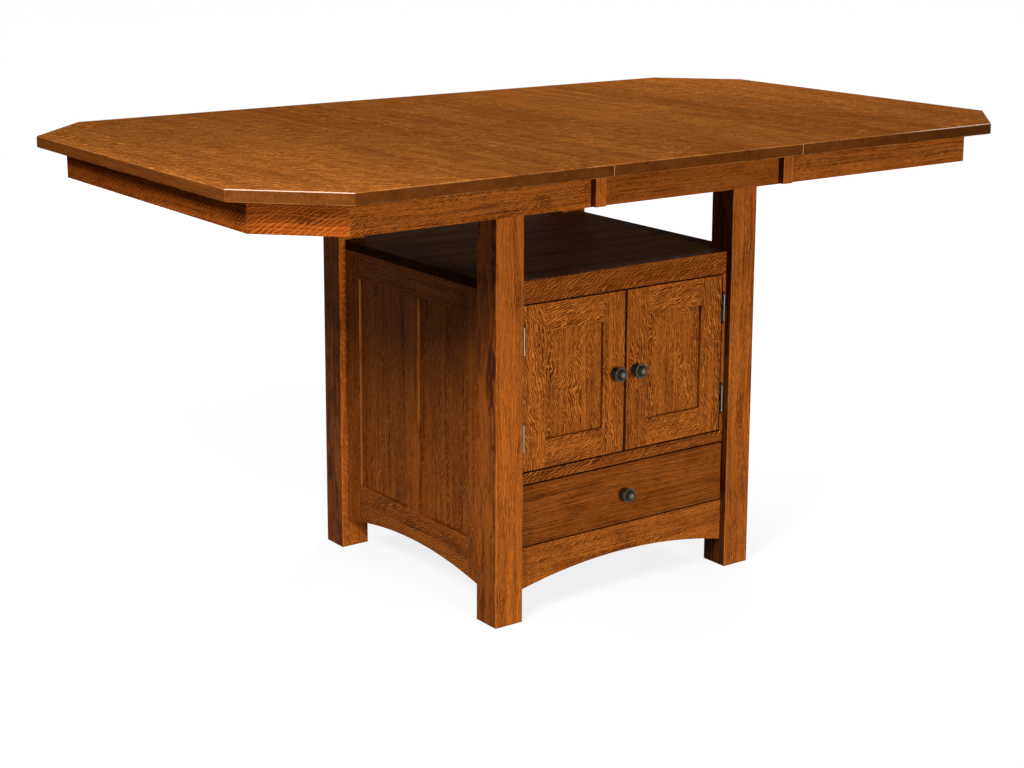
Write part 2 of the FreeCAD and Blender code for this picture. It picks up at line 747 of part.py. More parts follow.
build_legs()
build_walls()
build_front_rails()
build_boards()
build_top_frame()
build_doors()
build_drawer()
build_drawer_slides()
for half_name, half_shapes in build_top_half_left().items():
    save("left_" + half_name, half_shapes)
    save("right_" + half_name, turned(half_shapes))
build_leaf()
build_equalizer()
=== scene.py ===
import math

import bpy
from mathutils import Matrix, Vector


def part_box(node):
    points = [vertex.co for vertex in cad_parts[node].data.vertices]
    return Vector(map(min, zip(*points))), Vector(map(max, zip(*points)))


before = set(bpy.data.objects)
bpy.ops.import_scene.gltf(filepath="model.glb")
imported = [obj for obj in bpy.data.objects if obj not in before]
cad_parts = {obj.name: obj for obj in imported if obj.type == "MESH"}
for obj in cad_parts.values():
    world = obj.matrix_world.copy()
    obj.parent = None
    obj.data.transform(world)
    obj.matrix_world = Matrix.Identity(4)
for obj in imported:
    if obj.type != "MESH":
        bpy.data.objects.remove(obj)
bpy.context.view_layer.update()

# Legs. Four square posts of solid oak, sawn so that the rings run straight down the front faces
# and swirl on the faces beside them. They are sanded, stained amber brown and lacquered, with
# their upright edges eased by hand.
MM_PER_M = 1000.0


class Wire:
    """One output socket of a shader. Sums written on it in Python become Math nodes."""

    def __init__(self, tree, socket=None):
        self.tree = tree
        self.socket = socket

    def node(self, kind, settings, sockets, output=0):
        """Add a node: its settings first, then the values or links of its sockets."""
        made = self.tree.nodes.new(kind)
        for setting, value in settings.items():
            setattr(made, setting, value)
        for name, value in sockets.items():
            if isinstance(value, Wire):
                self.tree.links.new(value.socket, made.inputs[name])
            else:
                made.inputs[name].default_value = value
        return Wire(self.tree, made.outputs[output])

    def math(self, operation, first, second=0.0):
        return self.node("ShaderNodeMath", {"operation": operation}, {0: first, 1: second})

    def __add__(self, other):
        return self.math("ADD", self, other)

    def __sub__(self, other):
        return self.math("SUBTRACT", self, other)

    def __mul__(self, other):
        return self.math("MULTIPLY", self, other)

    def __truediv__(self, other):
        return self.math("DIVIDE", self, other)

    def __rsub__(self, other):
        return self.math("SUBTRACT", other, self)

    def __abs__(self):
        return self.math("ABSOLUTE", self)

    __radd__ = __add__
    __rmul__ = __mul__

    def part(self, axis):
        """The X, Y or Z part of a vector, or the red, green or blue of a colour."""
        return self.node("ShaderNodeSeparateXYZ", {}, {0: self}, axis)

    def step(self, low, high):
        """Nought below low, one above high, and a smooth rise between them."""
        return self.node("ShaderNodeMapRange", {"interpolation_type": "SMOOTHSTEP"},
                         {"Value": self, "From Min": low, "From Max": high})

    def mixed(self, low, high):
        """A colour between low and high, by this share."""
        return self.node("ShaderNodeMix", {"data_type": "RGBA"}, {0: self, 6: low, 7: high}, 2)

    def scaled(self, share):
        """This colour made darker or lighter."""
        return self.node("ShaderNodeVectorMath", {"operation": "SCALE"}, {0: self, "Scale": share})

    def cloud(self, lengths, sizes, detail=2.0, rough=0.5):
        """Smooth noise at a point given by three lengths, with lumps of the given sizes."""
        parts = {axis: length / size for axis, length, size in zip("XYZ", lengths, sizes)}
        point = self.node("ShaderNodeCombineXYZ", {}, parts)
        return self.node("ShaderNodeTexNoise", {}, {"Vector": point, "Scale": 1.0, "Detail": detail,
                                                    "Roughness": rough})

    def millimetres(self):
        """The place on a piece along X, Y and Z, in millimetres."""
        place = self.node("ShaderNodeTexCoord", {}, {}, "Object")
        return {axis: place.part(axis) * MM_PER_M for axis in "XYZ"}

    def eased_edge(self, radius):
        """The normal with edges eased to a radius in metres, and how far it bends from the face."""
        eased = self.node("ShaderNodeBevel", {"samples": 4}, {"Radius": radius})
        face = self.node("ShaderNodeNewGeometry", {}, {}, "Normal")
        match = self.node("ShaderNodeVectorMath", {"operation": "DOT_PRODUCT"}, {0: eased, 1: face}, "Value")
        return eased, 1.0 - match

    def openness(self, reach):
        """One on an open face, and less in a corner or a hollow within a reach in metres."""
        return self.node("ShaderNodeAmbientOcclusion", {"samples": 4}, {"Distance": reach}, "AO")


def new_finish(name):
    """An empty material, its surface shader, and a loose wire to start from."""
    material = bpy.data.materials.new(name)
    material.use_nodes = True
    tree = material.node_tree
    return material, tree.nodes["Principled BSDF"], Wire(tree)


def finish_surface(surface, **sockets):
    """Set or link the surface shader's sockets by name, with underscores for spaces."""
    for name, value in sockets.items():
        socket = surface.inputs[name.replace("_", " ")]
        if isinstance(value, Wire):
            value.tree.links.new(value.socket, socket)
        else:
            socket.default_value = value


# The stain on the oak: the dark of the rings, the ground and the pale ray fleck. A painted highlight
# on an arris is paler than the ground, and the painted shade in a gap is nearly black.
OAK_STAIN = ((0.085, 0.0180, 0.0035, 1), (0.375, 0.093, 0.0110, 1), (0.660, 0.198, 0.0240, 1))
OAK_HIGHLIGHT = (0.640, 0.250, 0.0600, 1)
GAP_SHADE_TONE = (0.012, 0.0040, 0.0010, 1)

# The marks in the oak, in millimetres. Three sizes go along the grain, across it and into the
# wood; the bow's go along, into and across it. Patches and smudges are so many streaks long and
# so many abreast.
SWAY = (240.0, 55.0, 70.0)
SWAY_WIDTH = 16.0
BOW = (150.0, 26.0, 60.0)
RING_RUN = 300.0
BAND_RUN = 700.0
PORE = (14.0, 1.1, 1.3)
# The spots in which an arris takes its painted highlight.
HIGHLIGHT_SPOT = (60.0, 60.0, 60.0)
SMUDGE_DEPTH = 80.0
PATCH_LENGTH = 8.5
SMUDGE_LENGTH = 6.0
STREAKS_ABREAST = 3.0

# The rays: how far apart the ribbons lie, how far they stray, how long, wide and deep a ribbon is
# before it breaks off, and how far they go before they turn.
RAY_PITCH = 5.0
RAY_STRAY = 15.0
RAY_LENGTH = 14.0
RAY_WIDTH = 7.0
RAY_DEPTH = 34.0
RAY_TURN = (75.0, 60.0)
BREAK_SHIFT = 37.0 * RAY_WIDTH

# Every piece is cut from another place in the log, up to this far off. Whole is a piece size
# that the table never reaches, so all that lies along that axis counts as one piece.
LOG = 900.0
WHOLE = 9000.0

# In metres, the radius of an eased arris and the reach of the painted shade in a nook. In millimetres,
# how far inside a gap's edge its painted shade line starts, and where it is full.
EASED = 0.0011
NOOK_SHADE_REACH = 0.005
GAP_SHADE_RANGE = (2.0, 1.2)


def grain_place(wire, lengths, axes, piece, cell, boards, seed):
    """Lengths along the grain, across it and into the wood, and three chances for each piece.

    The pieces are cells of the given sizes, or boards of one width side by side.
    """
    if boards:
        start = lengths[axes[1]] / boards + seed
        draw = wire.node("ShaderNodeTexVoronoi", {"voronoi_dimensions": "1D"},
                         {"W": start, "Scale": 1.0, "Randomness": 0.75}, "Color")
    else:
        corner = {axis: wire.math(cell, lengths[axis] / size) + seed for axis, size in zip("XYZ", piece)}
        spot = wire.node("ShaderNodeCombineXYZ", {}, corner)
        draw = wire.node("ShaderNodeTexWhiteNoise", {"noise_dimensions": "3D"}, {"Vector": spot}, "Color")
    chance = [draw.part(axis) for axis in "XYZ"]
    return [lengths[axis] + share * LOG for axis, share in zip(axes, chance)], chance


def sawn_marks(wire, place, ring, depth, swirl, streak_width):
    """The plain marks of the wood: its rings, the broad bands of them, and its pores."""
    a, b, c = place
    sway = wire.cloud((a, b, c), SWAY) - 0.5
    bow = wire.cloud((a, c, b), BOW) - 0.5
    grain = b + sway * SWAY_WIDTH + bow * swirl
    rings = wire.cloud((a, grain, c), (RING_RUN, ring, depth), 2.0, 0.7).step(0.36, 0.64)
    bands = wire.cloud((a, grain, c), (BAND_RUN, streak_width, depth), 1.0)
    pores = wire.cloud((a, grain, c), PORE, 1.0).step(0.52, 0.68)
    return rings, bands, pores


def ray_ribbons(wire, place, lean, sweep, size, stretch, waver, depth):
    """The waves that the rays make across the wood, and the ribbons that show on their crests."""
    a, b, c = place
    turn = wire.cloud(place, (*RAY_TURN, depth), 1.0) - 0.5
    leaning = b + a * lean + turn * sweep
    stray = wire.cloud(place, (RAY_STRAY * size * stretch, RAY_WIDTH * size, RAY_DEPTH))
    wave = wire.math("SINE", leaning * (math.tau / (RAY_PITCH * size)) + stray * waver) * 0.5 + 0.5
    breaks = wire.cloud((a, leaning + BREAK_SHIFT * size, c),
                        (RAY_LENGTH * size * stretch, RAY_WIDTH * size, RAY_DEPTH), 1.0)
    return wave, wave.step(0.45, 1.0) * (breaks.step(0.36, 0.58) * 0.8 + 0.2)


def painted_arris(bend, highlight_spots, turned_to, along, reach, painted_light_share, rounded):
    """How strongly each arris takes its painted highlight, or its painted shade by a gap, and the slope of
    the rounded ones.

    A rounded arris takes the painted highlight in spots, and one at a sawn end takes it all along.
    """
    arris = bend.step(0.08 * reach, reach)
    if not rounded:
        return arris * painted_light_share, None
    slope = turned_to[rounded].step(0.10, 0.35) * (1.0 - turned_to[rounded].step(0.85, 0.97))
    end_arris = arris * turned_to[along].step(0.70, 0.90) * 0.9
    return bend.math("MAXIMUM", slope * highlight_spots * painted_light_share, end_arris), slope


def oak(name, along, across, seed=0.0, piece=(WHOLE, WHOLE, WHOLE), cell="ROUND", boards=0.0,
        fleck=0.8, fleck_size=1.0, stretch=1.0, tilt=0.3, sweep=28.0, waver=14.0,
        ring=2.2, depth=160.0, swirl=0.0, contrast=1.0, plain_figure=0.0,
        streaks=1.0, streak_width=13.0, smudge=0.25,
        stain=OAK_STAIN, shade=1.0, painted_left_shade=0.0, end_grain_and_shade=0.5, gap_shade_edges=(),
        arris_tone=OAK_HIGHLIGHT, arris_reach=0.25, painted_light_share=0.4, wall_highlight=0.0, rounded=None, rim=None,
        gloss=0.02, roughness=0.45):
    """Quarter-sawn oak with its grain along one axis and its rings in line across another.

    Lengths are in millimetres. The rays show as short wavy ribbons that lean from the grain by the
    tilt. Sides that face left take a painted shade, and sawn ends are darker with their stain; on
    the end aprons the same share paints shade on the clipped corner boards. A gap edge is a painted
    shade line round a door or a drawer, and nooks take painted shade. Arrises are rounded towards
    an axis and take a painted highlight, or painted shade where their tone is the gap's, and a rim
    function paints highlight and shade on the top's edge.
    """
    material, surface, wire = new_finish(name)
    lengths = wire.millimetres()
    facing = wire.node("ShaderNodeTexCoord", {}, {}, "Normal")
    turned_to = {axis: abs(facing.part(axis)) for axis in "XYZ"}
    third = (set("XYZ") - {along, across}).pop()
    radial = turned_to[third].step(0.40, 0.80)
    place, chance = grain_place(wire, lengths, (along, across, third), piece, cell, boards, seed)

    rings, bands, pores = sawn_marks(wire, place, ring, depth, swirl, streak_width)
    lean = (chance[2] * 0.8 + 0.6) * tilt
    wave, ribbons = ray_ribbons(wire, place, lean, sweep, fleck_size, stretch, waver, depth)
    patch = (PATCH_LENGTH * streak_width, STREAKS_ABREAST * streak_width, depth)
    patches = wire.cloud(place, patch, 1.0).step(0.30, 0.60) * 0.5 + 0.5
    rays = ribbons * patches * radial * fleck
    spot = (SMUDGE_LENGTH * streak_width, STREAKS_ABREAST * streak_width, SMUDGE_DEPTH)
    smudges = wire.cloud(place, spot).step(0.30, 0.55)

    plain = (1.0 - radial) * plain_figure + 1.0
    tone = (rings - 0.5) * plain * (0.5 * contrast) + (bands - 0.5) * plain * (streaks * contrast)
    tone = tone + (wave - 0.5) * radial * (0.35 * fleck) + smudges * smudge
    tone = tone + (0.58 - 0.10 * fleck - 0.5 * smudge)
    dark, ground, pale = stain
    colour = rays.mixed(tone.mixed(dark, ground), pale)
    colour = colour.scaled(1.0 - pores * (0.36 * contrast))
    colour = colour.scaled((chance[0] * 0.20 + 0.90) * shade)
    # Faces turned to the left take a painted shade.
    leftward = facing.part("X") * -1.0
    colour = colour.scaled(1.0 - leftward.step(0.75, 0.95) * painted_left_shade)
    # Sawn ends darken with the stain they take in; on the end aprons' clipped corner boards this darkening
    # is painted shade.
    colour = colour.scaled(1.0 - turned_to[along].step(0.50, 0.80) * end_grain_and_shade)

    eased, bend = wire.eased_edge(EASED)
    highlight_spots = wire.cloud(place, HIGHLIGHT_SPOT).step(0.30, 0.60)
    arris, slope = painted_arris(bend, highlight_spots, turned_to, along, arris_reach, painted_light_share, rounded)
    # Arrises take a painted highlight, or painted shade where their tone is the gap's.
    colour = arris.mixed(colour, arris_tone)
    # A painted shade line along each gap's edge.
    for axis, middle, reach in gap_shade_edges:
        gap_shade_line = abs(abs(lengths[axis]) - middle).step(reach - GAP_SHADE_RANGE[0], reach - GAP_SHADE_RANGE[1])
        colour = (gap_shade_line * turned_to[third].step(0.50, 0.90)).mixed(colour, GAP_SHADE_TONE)
    if rim:
        colour = rim(wire, colour, lengths, turned_to, slope)
    # Painted highlight on the groove walls, in spots.
    if wall_highlight:
        walls = turned_to[across].step(0.80, 0.95)
        colour = (walls * highlight_spots * wall_highlight).mixed(colour, OAK_HIGHLIGHT)
    # Painted shade in nooks and hollows.
    colour = colour.scaled(wire.openness(NOOK_SHADE_REACH).step(0.30, 0.90) * 0.65 + 0.35)

    height = rays * 0.25 - pores * 0.8 + rings * 0.2
    relief = wire.node("ShaderNodeBump", {}, {"Strength": 0.35, "Distance": 0.0004, "Height": height,
                                              "Normal": eased})
    finish_surface(surface, Base_Color=colour, Roughness=roughness + pores * 0.2 - rays * 0.06,
                   Specular_IOR_Level=gloss, Normal=relief)
    return material


def dress(material, *names):
    """Give CAD pieces their finish."""
    for name in names:
        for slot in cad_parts[name].material_slots:
            slot.material = material


FRONT_LEG = dict(fleck_size=0.7, stretch=1.6, tilt=0.05, swirl=30.0, depth=30.0, plain_figure=0.9,
                 rounded="X")
# The legs' arrises take a painted highlight, and on the right and back legs the faces turned to the left
# take a painted shade.
left_leg_oak = oak("left leg oak", "Z", "X", seed=3.0, fleck=0.35, painted_light_share=0.3, **FRONT_LEG)
right_leg_oak = oak("right leg oak", "Z", "X", seed=6.0, fleck=0.45, shade=1.16, painted_left_shade=0.72, painted_light_share=0.2,
                    **FRONT_LEG)
back_leg_oak = oak("back leg oak", "Z", "X", seed=4.0, piece=(400, WHOLE, WHOLE), fleck=0.35, fleck_size=2.4,
                   tilt=1.2, waver=24.0, swirl=30.0, depth=30.0, plain_figure=0.5, shade=1.50,
                   painted_left_shade=0.35, rounded="X")
dress(left_leg_oak, "leg_front_left")
dress(right_leg_oak, "leg_front_right")
dress(back_leg_oak, "leg_back_left", "leg_back_right")

# Front rails. The arched rail under the drawer, the narrow rail over it, and the rail over the
# doors are level oak boards between the front legs, glued in with hidden dowels. Two narrow
# strips beside the doors carry the hinges.
bottom_rail_oak = oak("bottom rail oak", "X", "Z", seed=11.0, fleck=0.7, fleck_size=0.8, tilt=-0.5,
                      contrast=1.2, shade=0.90)
# The rail over the doors takes painted shade on its arrises, along the gaps.
cross_rail_oak = oak("cross rail oak", "X", "Z", seed=5.0, piece=(WHOLE, WHOLE, 300), fleck_size=1.5,
                     tilt=-0.45, contrast=1.3, shade=0.58, arris_tone=GAP_SHADE_TONE, arris_reach=0.08,
                     painted_light_share=0.95)
strip_oak = oak("hinge strip oak", "Z", "X", seed=2.0, piece=(300, WHOLE, WHOLE), fleck=0.3, tilt=0.1)
dress(bottom_rail_oak, "front_bottom_rail")
dress(cross_rail_oak, "front_cross_rails")
dress(strip_oak, "hinge_strips")

# Sides and back. Upright stiles, level rails tongued between them, and flat panels let into
# their grooves. The lower ends of the stiles follow the arch of the bottom rail.
# The stiles' groove walls take a painted highlight.
side_stile_oak = oak("side stile oak", "Z", "Y", seed=7.0, piece=(WHOLE, 220, WHOLE), fleck=0.5, tilt=0.15,
                     contrast=1.2, shade=1.11, wall_highlight=0.35)
side_rail_oak = oak("side rail oak", "Y", "Z", seed=8.0, piece=(WHOLE, WHOLE, 300), fleck=0.6,
                    contrast=1.2, shade=1.04)
side_panel_oak = oak("side panel oak", "Z", "Y", seed=9.0, piece=(WHOLE, 400, WHOLE), cell="FLOOR",
                     fleck=0.6, tilt=0.1, sweep=45.0, contrast=1.2, shade=1.04)
back_stile_oak = oak("back stile oak", "Z", "X", seed=17.0, piece=(220, WHOLE, WHOLE), fleck=0.35, tilt=0.15)
back_rail_oak = oak("back rail oak", "X", "Z", seed=18.0, piece=(WHOLE, WHOLE, 300), fleck=0.6, tilt=0.4)
back_panel_oak = oak("back panel oak", "Z", "X", seed=19.0, piece=(400, WHOLE, WHOLE), cell="FLOOR",
                     fleck=0.6, tilt=0.2, sweep=45.0)
dress(side_stile_oak, "left_side_stiles", "right_side_stiles")
dress(side_rail_oak, "left_side_rails", "right_side_rails")
dress(side_panel_oak, "left_side_panels", "right_side_panels")
dress(back_stile_oak, "back_stiles")
dress(back_rail_oak, "back_rails")
dress(back_panel_oak, "back_panels")

# Shelf and boards. The open shelf, the cupboard's floor and the bottom under the drawer are
# glued up from narrow oak boards that run from side to side, notched round the legs.
SHELF_BOARD = 92.0
# The shelf's stain is darker than the other oak's: partly its own colour and partly painted shade for the
# niche under the top.
SHELF_STAIN_AND_SHADE = ((0.030, 0.0110, 0.0035, 1), (0.210, 0.0820, 0.0200, 1), (0.300, 0.1250, 0.0350, 1))
board_oak = oak("board oak", "X", "Y", seed=0.4, boards=SHELF_BOARD, fleck=0.3, stain=SHELF_STAIN_AND_SHADE,
                end_grain_and_shade=0.75, gloss=0.004, roughness=0.6)
dress(board_oak, "open_shelf", "cupboard_floor", "cabinet_bottom")

# Drawer slides. Cleats of plain hardwood fill the space beside the side frames, and the three
# nested channels of each slide are rolled from zinc-plated steel and screwed to them.
MAPLE_LIGHT = (0.58, 0.40, 0.22, 1)
MAPLE_DARK = (0.40, 0.25, 0.12, 1)
MAPLE_SWAY = (300.0, 60.0, 60.0)
MAPLE_SWAY_WIDTH = 22.0
MAPLE_RING = (500.0, 5.0, 90.0)
MAPLE_FIBRE = (22.0, 0.7, 0.9)
MAPLE_BOARD_SHIFT = 300.0
ZINC_LIGHT = (0.62, 0.63, 0.64, 1)
ZINC_DARK = (0.36, 0.37, 0.39, 1)
ROLLED_LINE = (0.8, 160.0, 0.8)
ZINC_SPANGLE = (14.0, 14.0, 14.0)


def maple(name, along, across, seed):
    """Clear-lacquered maple, close and even in its grain. Each seed is another board."""
    material, surface, wire = new_finish(name)
    lengths = wire.millimetres()
    third = (set("XYZ") - {along, across}).pop()
    a = lengths[along] + seed * MAPLE_BOARD_SHIFT
    b = lengths[across]
    c = lengths[third]
    sway = wire.cloud((a, b, c), MAPLE_SWAY) - 0.5
    grain = b + sway * MAPLE_SWAY_WIDTH
    rings = wire.cloud((a, grain, c), MAPLE_RING, 3.0, 0.6)
    fibres = wire.cloud((a, grain, c), MAPLE_FIBRE, 1.0)
    colour = ((rings - 0.5) * 1.2 + (fibres - 0.5) * 0.5 + 0.5).mixed(MAPLE_DARK, MAPLE_LIGHT)
    relief = wire.node("ShaderNodeBump", {}, {"Strength": 0.2, "Distance": 0.0003, "Height": fibres})
    finish_surface(surface, Base_Color=colour, Roughness=0.42 + fibres * 0.1, Specular_IOR_Level=0.25,
                   Normal=relief)
    return material


def zinc(name):
    """Rolled steel with bright zinc plating and fine lines along its length."""
    material, surface, wire = new_finish(name)
    place = wire.millimetres().values()
    lines = wire.cloud(place, ROLLED_LINE)
    spangle = wire.cloud(place, ZINC_SPANGLE)
    colour = (lines * 0.6 + spangle * 0.4).mixed(ZINC_DARK, ZINC_LIGHT)
    relief = wire.node("ShaderNodeBump", {}, {"Strength": 0.15, "Distance": 0.0002, "Height": lines})
    finish_surface(surface, Base_Color=colour, Metallic=1.0, Roughness=0.26 + spangle * 0.18, Normal=relief)
    return material


cleat_maple = maple("cleat maple", "Y", "Z", 1.0)
slide_zinc = zinc("slide zinc")
dress(cleat_maple, "drawer_slide_cleats")
dress(slide_zinc, "cabinet_slide_channels", "middle_slide_channels", "drawer_slide_channels")

# Drawer. A flat oak front takes the dovetails of two maple sides; the back stands between the
# sides, and a thin panel slides into grooves as the bottom. Its knob is screwed on from inside.


def extent(axis, name):
    """An axis, with the middle and the half length of a CAD piece along it, in millimetres."""
    low, high = (corner["XYZ".index(axis)] * MM_PER_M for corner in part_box(name))
    return axis, (low + high) / 2, (high - low) / 2


# The drawer front takes a painted shade line along its upper and lower gaps, and painted shade on its
# arrises.
drawer_front_oak = oak("drawer front oak", "X", "Z", seed=21.0, fleck=0.15, stretch=2.0, tilt=0.06, ring=1.6,
                       contrast=1.3, streaks=0.2, shade=0.74, gap_shade_edges=[extent("Z", "drawer_front")],
                       arris_tone=GAP_SHADE_TONE, arris_reach=0.08, painted_light_share=0.95)
drawer_side_maple = maple("drawer side maple", "Y", "Z", 2.0)
drawer_back_maple = maple("drawer back maple", "X", "Z", 3.0)
drawer_bottom_maple = maple("drawer bottom maple", "X", "Y", 4.0)
dress(drawer_front_oak, "drawer_front")
dress(drawer_side_maple, "drawer_sides")
dress(drawer_back_maple, "drawer_back")
dress(drawer_bottom_maple, "drawer_bottom")

# Knobs. Turned mushroom knobs cast in white metal with an antique pewter finish: dark in the
# hollows, with a painted highlight on the rim and the crown.

# In metres, the radius of an eased edge and the reach of a hollow's dirt. In millimetres, the
# size of the patina's patches and of the specks in it.
PEWTER_EASED = 0.0007
PEWTER_HOLLOW = 0.006
PATINA = (7.0, 7.0, 7.0)
SPECK = (0.9, 0.9, 0.9)


def pewter(name, dark, bright, rough, highlight_from=0.80, highlight_share=0.35):
    """Antique pewter: blackened metal with its patina in the hollows, and a painted highlight on eased edges
    and on faces turned to the front.
    """
    material, surface, wire = new_finish(name)
    place = wire.millimetres().values()
    patina = wire.cloud(place, PATINA)
    specks = wire.cloud(place, SPECK, 1.0).step(0.50, 0.75)
    eased, bend = wire.eased_edge(PEWTER_EASED)
    hollow = wire.openness(PEWTER_HOLLOW).step(0.45, 1.0)
    # A painted highlight on faces turned to the front and on eased edges, over the patina that is lighter
    # where the metal is open.
    facing_front = wire.node("ShaderNodeTexCoord", {}, {}, "Normal").part("Y") * -1.0
    painted_light_share = hollow * patina * 0.12 + facing_front.step(highlight_from, 1.0) * highlight_share + bend.step(0.02, 0.15) * 0.7
    painted_light_share = painted_light_share.step(0.0, 1.0)
    colour = painted_light_share.mixed(dark, bright).scaled(1.0 - specks * 0.25)
    relief = wire.node("ShaderNodeBump", {}, {"Strength": 0.12, "Distance": 0.0002,
                                              "Height": patina - specks * 0.3, "Normal": eased})
    finish_surface(surface, Base_Color=colour, Metallic=painted_light_share * 0.75 + 0.2, Roughness=rough + patina * 0.16,
                   Specular_IOR_Level=0.15, Normal=relief)
    return material


knob_pewter = pewter("knob pewter", dark=(0.010, 0.008, 0.005, 1), bright=(0.420, 0.360, 0.280, 1),
                     rough=0.22)
dress(knob_pewter, "drawer_knob", "left_door_knob", "right_door_knob")

# Doors. Two inset doors of oak, each with two stiles, two rails and a flat panel in their
# grooves; a catch moulded in brown plastic, under the shelf, holds them shut.
DOOR_SIDES = extent("X", "right_door_stiles")
DOOR_ENDS = extent("Z", "right_door_stiles")
# The door stiles and rails take a painted shade line along the gaps round each door, and painted shade on
# their arrises.
door_stile_oak = oak("door stile oak", "Z", "X", seed=31.0, piece=(120, WHOLE, WHOLE), fleck=0.9, tilt=0.18,
                     sweep=36.0, shade=0.85, gap_shade_edges=[DOOR_SIDES, DOOR_ENDS], arris_tone=GAP_SHADE_TONE,
                     painted_light_share=0.6)
door_rail_oak = oak("door rail oak", "X", "Z", seed=32.0, piece=(WHOLE, WHOLE, 300), fleck=0.95, tilt=-0.32,
                    shade=0.84, gap_shade_edges=[DOOR_ENDS], arris_tone=GAP_SHADE_TONE, painted_light_share=0.6)
door_panel_oak = oak("door panel oak", "Z", "X", seed=33.0, fleck=0.95, fleck_size=0.9, tilt=0.1, sweep=55.0,
                     shade=0.88)
dress(door_stile_oak, "left_door_stiles", "right_door_stiles")
dress(door_rail_oak, "left_door_rails", "right_door_rails")
dress(door_panel_oak, "left_door_panel", "right_door_panel")

MOULD_CLOUD = (9.0, 9.0, 9.0)
MOULD_GRAIN = (0.6, 0.6, 0.6)


def moulded(name, light, dark):
    """Moulded plastic with a faint even grain."""
    material, surface, wire = new_finish(name)
    place = wire.millimetres().values()
    clouds = wire.cloud(place, MOULD_CLOUD)
    grain = wire.cloud(place, MOULD_GRAIN, 1.0)
    relief = wire.node("ShaderNodeBump", {}, {"Strength": 0.15, "Distance": 0.0002, "Height": grain})
    finish_surface(surface, Base_Color=clouds.mixed(dark, light), Roughness=0.40 + grain * 0.15,
                   Specular_IOR_Level=0.4, Normal=relief)
    return material


catch_plastic = moulded("catch plastic", light=(0.10, 0.050, 0.022, 1), dark=(0.07, 0.034, 0.015, 1))
dress(catch_plastic, "door_catch")

# Hinges. Two butt hinges to a door, stamped and rolled from steel with the same antique finish,
# let in flush to the door's edge and the strip, with turned tips on their pins.
# On the hinges the painted highlight is a narrow line down the front of each knuckle.
hinge_pewter = pewter("hinge pewter", dark=(0.003, 0.003, 0.002, 1), bright=(0.600, 0.570, 0.520, 1),
                      rough=0.26, highlight_from=0.93, highlight_share=0.8)
dress(hinge_pewter, "frame_hinge_plates", "hinge_pins", "left_door_hinge_plates", "right_door_hinge_plates")

# Top frame and equalizer slides. Four oak rails tie the legs together. On them lie two fixed
# maple rails; the halves' runners slide beside them on their tongues, and a nylon pinion on a
# steel post, between two nylon racks, keeps the halves level.
frame_rail_oak = oak("frame rail oak", "X", "Z", seed=41.0, piece=(540, 520, WHOLE), fleck=0.3)
rail_maple = maple("slide rail maple", "X", "Y", 5.0)
gear_nylon = moulded("gear nylon", light=(0.72, 0.70, 0.62, 1), dark=(0.62, 0.60, 0.53, 1))
dress(frame_rail_oak, "top_frame_rails")
dress(rail_maple, "equalizer_rails", "left_runners", "right_runners")
dress(slide_zinc, "pinion_posts")
dress(gear_nylon, "front_pinion", "back_pinion", "left_racks", "right_racks")

# Top halves. Each slab is glued up from oak boards that run from front to back, clipped at its
# outer corners and eased all round. Mitred apron boards stand under its rim, and a small block
# covers the joint with the leaf's apron at the front and at the back.
TOP_STAIN = ((0.110, 0.0290, 0.0065, 1), (0.300, 0.086, 0.0130, 1), (0.560, 0.192, 0.0300, 1))
TOP_OAK = dict(boards=118.0, fleck=0.9, fleck_size=2.2, stretch=0.8, tilt=0.7, sweep=30.0, waver=16.0,
               depth=12.0, contrast=0.6, streaks=1.3, streak_width=26.0, smudge=0.05, stain=TOP_STAIN,
               shade=1.13, end_grain_and_shade=0.60, rounded="Z", gloss=0.0, roughness=0.60)
# A painted highlight on the top's upper arris and a painted highlight line at the leaf's joint, with their
# tones and widths.
RIM_HIGHLIGHT = (0.85, 0.64, 0.52, 1)
RIM_SHINE = 0.6
JOINT_HIGHLIGHT = (0.70, 0.40, 0.20, 1)
JOINT_LINE = (0.6, 1.6)
LEAF_JOINT = (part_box("leaf_top")[1].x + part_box("right_top")[0].x) / 2 * MM_PER_M
FAR_END = (430.0, 640.0)
TOP_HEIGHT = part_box("left_top")[1].z * MM_PER_M
UPPER_ARRIS = (TOP_HEIGHT - 14.4, TOP_HEIGHT - 6.4)


def lit_rim(wire, colour, lengths, turned_to, slope):
    """The top's edge: a painted highlight line at the joint, and a painted highlight on the rim at the
    clipped corners and far end.

    The front edge takes a painted shade towards that end, and only the upper arris takes the highlight.
    """
    edge = turned_to["Y"].step(0.50, 0.80)
    far_end = lengths["X"].step(*FAR_END)
    # Painted shade on the front edge towards the far end.
    colour = colour.scaled(1.0 - far_end * edge * 0.30)
    joint = 1.0 - abs(abs(lengths["X"]) - LEAF_JOINT).step(*JOINT_LINE)
    # Painted highlight line at the joint.
    colour = (joint * edge * 0.7).mixed(colour, JOINT_HIGHLIGHT)
    clipped = (turned_to["Y"] * turned_to["X"]).step(0.05, 0.20)
    upper = slope * lengths["Z"].step(*UPPER_ARRIS)
    # Painted highlight on the upper arris at the clipped corners and far end.
    return (wire.math("MAXIMUM", clipped, far_end) * upper * RIM_SHINE).mixed(colour, RIM_HIGHLIGHT)


END_STAIN = ((0.110, 0.0200, 0.0035, 1), (0.470, 0.098, 0.0110, 1), (0.800, 0.220, 0.0260, 1))
# The halves' left end edges take a painted shade, and their rims the painted highlight and shade of lit_rim.
half_top_oak = oak("half top oak", "Y", "X", seed=0.35, painted_left_shade=0.3, rim=lit_rim, **TOP_OAK)
long_apron_oak = oak("long apron oak", "X", "Z", seed=51.0, piece=(WHOLE, 800, WHOLE), fleck=0.6,
                     fleck_size=0.8, stretch=1.2, tilt=-0.4, waver=8.0, contrast=1.6, shade=0.90)
